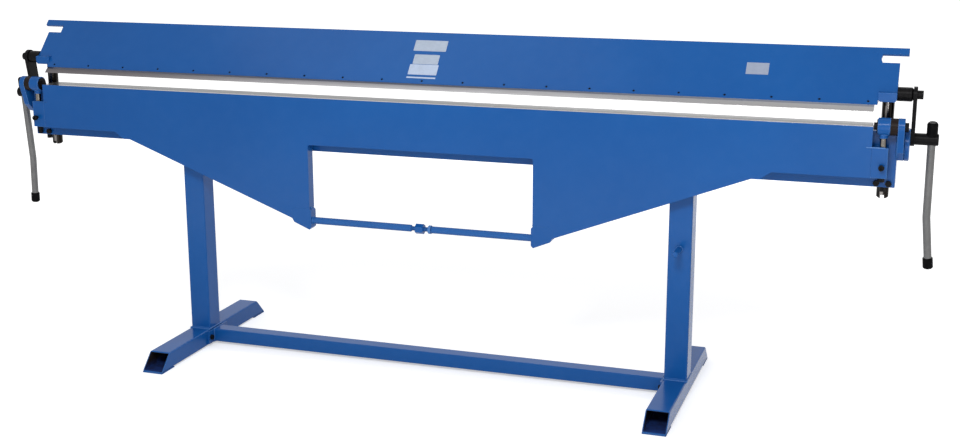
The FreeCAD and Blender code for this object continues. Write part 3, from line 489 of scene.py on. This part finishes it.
def loop(x0, x1, y0, y1, z):
    """Corners of a level rectangle."""
    return [(x0, y0, z), (x1, y0, z), (x1, y1, z), (x0, y1, z)]


def ring(x, y, z, radius, axis):
    """Points round a circle whose axis is X or Y."""
    count = 16
    turns = [math.tau * i / count for i in range(count)]
    if axis == "X":
        return [(x, y + radius * math.cos(t), z + radius * math.sin(t)) for t in turns]
    return [(x + radius * math.cos(t), y, z + radius * math.sin(t)) for t in turns]


def weld_stand():
    """Beads of the legs, the side lugs, the stretcher's flanges and the peg."""
    for side, sign in SIDES:
        low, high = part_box("leg_" + side)
        foot = [loop(low.x, high.x, low.y, high.y, low.z)]
        weld("weld_leg_foot_" + side, foot, "stand", 0.0032, closed=True)
        front_y = low.y + 0.006
        head = [[(low.x, front_y, high.z), (high.x, front_y, high.z)]]
        weld("weld_leg_head_" + side, head, "stand", 0.003)
        low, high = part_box("end_block_" + side)
        seam_x = (high.x if sign > 0 else low.x) - sign * 0.0015
        front = [(seam_x, low.y, LUG_FOOT_Z), (seam_x, low.y, LUG_HEAD_Z)]
        top = [(seam_x, LUG_BACK_Y, high.z), (seam_x, LUG_FRONT_Y, high.z)]
        weld("weld_lug_" + side, [front, top], "stand", 0.0034)
    low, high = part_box("stretcher")
    for side, x in (("left", low.x), ("right", high.x)):
        around = [(x, low.y, low.z), (x, high.y, low.z), (x, high.y, high.z), (x, low.y, high.z)]
        weld("weld_flange_" + side, [around], "stand", 0.0026, closed=True)
    low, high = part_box("leg_peg")
    middle = (low + high) / 2
    radius = (high.z - low.z) / 2
    leg_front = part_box("leg_right")[0].y
    weld("weld_peg", [ring(middle.x, leg_front, middle.z, radius, "Y")], "stand", 0.0026, closed=True)


def weld_leaf():
    """Beads of the opening's ribs, the truss brackets, the rods and the adjuster blocks."""
    for side, sign in SIDES:
        low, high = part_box("opening_ribs")
        x = sign * max(abs(low.x), abs(high.x))
        up = [(x, RIB_Y, low.z + 0.02), (x, RIB_Y, high.z - 0.01)]
        weld("weld_rib_" + side, [up], "folding_leaf", 0.0026)

        low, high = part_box("truss_bracket_" + side)
        inner, outer = (low.x, high.x) if sign > 0 else (high.x, low.x)
        up = [(outer, RIB_Y, low.z + 0.034), (outer, RIB_Y, high.z)]
        over = [(outer, RIB_Y, high.z), (inner, RIB_Y, high.z)]
        weld("weld_bracket_" + side, [up, over], "folding_leaf", 0.003)

        low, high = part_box("truss_rod_" + side)
        middle = (low + high) / 2
        around = ring(high.x if sign > 0 else low.x, middle.y, middle.z, (high.z - low.z) / 2, "X")
        weld("weld_rod_" + side, [around], "folding_leaf", 0.0026, closed=True)

        low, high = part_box("adjuster_block_" + side)
        x = low.x if sign > 0 else high.x
        up = [(x, LEAF_FRONT, low.z + 0.002), (x, LEAF_FRONT, high.z)]
        weld("weld_adjuster_" + side, [up], "folding_leaf", 0.0012, material=paint)
        over = [(x - sign * 0.018, LEAF_FRONT, high.z), (x + sign * 0.042, LEAF_FRONT, high.z)]
        # Painted highlight: the bead on top of the right block gets the much lighter coat.
        coat = paint_highlight_coat if side == "right" else paint
        weld("weld_adjuster_top_" + side, [over], "folding_leaf", 0.002, material=coat)


def weld_beam():
    """Short stitches along the foot and the head of the clamping beam's web, seen from behind."""
    low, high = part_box("clamp_web")
    half_stitch = 0.03
    count = 9
    reach = high.x - 0.12
    foot = []
    head = []
    for i in range(count):
        x = -reach + 2 * reach * i / (count - 1)
        x0, x1 = x - half_stitch, x + half_stitch
        foot.append([(x0, high.y - 0.001, low.z), (x1, high.y - 0.001, low.z)])
        head.append([(x0, high.y, high.z), (x1, high.y, high.z)])
    weld("weld_web_foot", foot, "clamp_beam", 0.003)
    weld("weld_web_head", head, "clamp_beam", 0.003)


def blank_plate(name, x0, x1, low, high, material, thick, corner):
    """Blank plate with rounded corners on the clamping plate, between two places up its slope."""
    outline = []
    for x, up, first in ((x1, high, 0), (x0, high, 90), (x0, low, 180), (x1, low, 270)):
        x += corner if x == x0 else -corner
        up += corner if up == low else -corner
        for step in range(4):
            turn = math.radians(first + 30 * step)
            outline.append((x + corner * math.cos(turn), up + corner * math.sin(turn)))
    vertices = []
    for out in (-0.0001, thick):
        for x, up in outline:
            y = PLATE_Y + up * math.sin(PLATE_LEAN) - out * math.cos(PLATE_LEAN)
            z = PLATE_Z + up * math.cos(PLATE_LEAN) + out * math.sin(PLATE_LEAN)
            vertices.append((x, y, z))
    count = len(outline)
    faces = [tuple(range(count, 2 * count)), tuple(range(count))[::-1]]
    faces += [(i, (i + 1) % count, count + (i + 1) % count, count + i) for i in range(count)]
    add_piece(name, vertices, faces, "clamp_beam", material, smooth=False)


def blank_plates():
    """The bare plates on the front of the clamping beam."""
    blank_plate("blank_plate_upper", -0.063, 0.059, 0.1395, 0.1855, plate_metal, 0.0006, 0.003)
    blank_plate("blank_plate_lower", -0.0525, 0.042, 0.0832, 0.1240, plate_metal, 0.0006, 0.003)
    blank_plate("blank_sticker", -0.060, 0.047, 0.0384, 0.0818, sticker, 0.0002, 0.002)
    blank_plate("blank_strip", -0.061, 0.047, 0.0231, 0.0291, sticker, 0.0002, 0.001)
    blank_plate("blank_plate_right", 1.111, 1.184, 0.0976, 0.1436, plate_small, 0.0003, 0.001)


weld_stand()
weld_leaf()
weld_beam()
blank_plates()


def look_from():
    """Camera at the photograph's place and angle."""
    around, down, roll = 18.62, 13.68, -0.09    # degrees
    data = bpy.data.cameras.new("camera")
    data.sensor_fit = "HORIZONTAL"
    data.sensor_width = 36.0
    data.lens = 51.66
    data.clip_end = 200.0
    camera = bpy.data.objects.new("camera", data)
    bpy.context.scene.collection.objects.link(camera)
    camera.location = (1.7216, -4.5162, 1.7207)
    turn = Matrix.Rotation(math.radians(around), 3, "Z") @ Matrix.Rotation(math.radians(90 - down), 3, "X")
    camera.rotation_euler = (turn @ Matrix.Rotation(math.radians(roll), 3, "Z")).to_euler()
    bpy.context.scene.camera = camera


def make_world():
    """Even light from all round, plain white where it is seen."""
    g = Graph("world", bpy.data.worlds, "ShaderNodeOutputWorld")
    bpy.context.scene.world = g.owner
    mix = g.node("ShaderNodeMixShader")
    g.plug(g.seen(), mix.inputs["Fac"])
    for strength, socket in ((0.45, mix.inputs[1]), (1.0, mix.inputs[2])):
        light = g.node("ShaderNodeBackground")
        g.plug(WHITE, light.inputs["Color"])
        g.plug(strength, light.inputs["Strength"])
        g.plug(light.outputs["Background"], socket)
    g.plug(mix.outputs["Shader"], g.out.inputs["Surface"])


def make_floor():
    """Pale floor that keeps the object's shadow and is lifted to white where it is seen, more so far away."""
    half = 60.0
    mesh = bpy.data.meshes.new("floor")
    mesh.from_pydata(loop(-half, half, -half, half, 0), [], [(0, 1, 2, 3)])
    floor = bpy.data.objects.new("floor", mesh)
    bpy.context.scene.collection.objects.link(floor)
    g = Graph("floor")
    plain = g.node("ShaderNodeBsdfDiffuse")
    g.plug((0.82, 0.82, 0.82, 1), plain.inputs["Color"])
    reach = g.node("ShaderNodeVectorMath", operation="LENGTH")
    g.plug(g.place, reach.inputs[0])
    lift = g.node("ShaderNodeEmission")
    g.plug(WHITE, lift.inputs["Color"])
    g.plug(g.times(g.seen(), g.remap(reach.outputs["Value"], 1.5, 4.5, 0.48, 0.8)), lift.inputs["Strength"])
    both = g.node("ShaderNodeAddShader")
    g.plug(plain.outputs["BSDF"], both.inputs[0])
    g.plug(lift.outputs["Emission"], both.inputs[1])
    g.plug(both.outputs["Shader"], g.out.inputs["Surface"])
    mesh.materials.append(g.owner)


def lamp(name, place, target, size, watts):
    """Soft lamp that points at a target."""
    data = bpy.data.lights.new(name, "AREA")
    data.shape = "RECTANGLE"
    data.size, data.size_y = size
    data.energy = watts
    made = bpy.data.objects.new(name, data)
    bpy.context.scene.collection.objects.link(made)
    made.location = place
    made.rotation_euler = (Vector(target) - Vector(place)).to_track_quat("-Z", "Y").to_euler()


look_from()
make_world()
make_floor()
lamp("key", (1.0, -3.4, 3.3), (0.4, 0, 0.8), (1.2, 0.8), 77)
lamp("left_key", (-2.8, -4.8, 3.6), (-0.8, 0, 0.8), (0.6, 1.2), 5)
lamp("low", (1.75, -4.9, 0.55), (0.8, 0, 0.8), (0.3, 0.9), 14)
lamp("panel", (0.5, -2.6, 0.03), (0.5, -2.6, 1.0), (6.0, 2.2), 46)
lamp("top", (-1.4, -0.6, 4.6), (0.0, 0, 0.9), (2.2, 2.2), 17)
lamp("back", (0.5, 5.0, 4.5), (0, 0, 0.8), (4.0, 2.0), 80)

bpy.context.scene.view_settings.view_transform = "Standard"
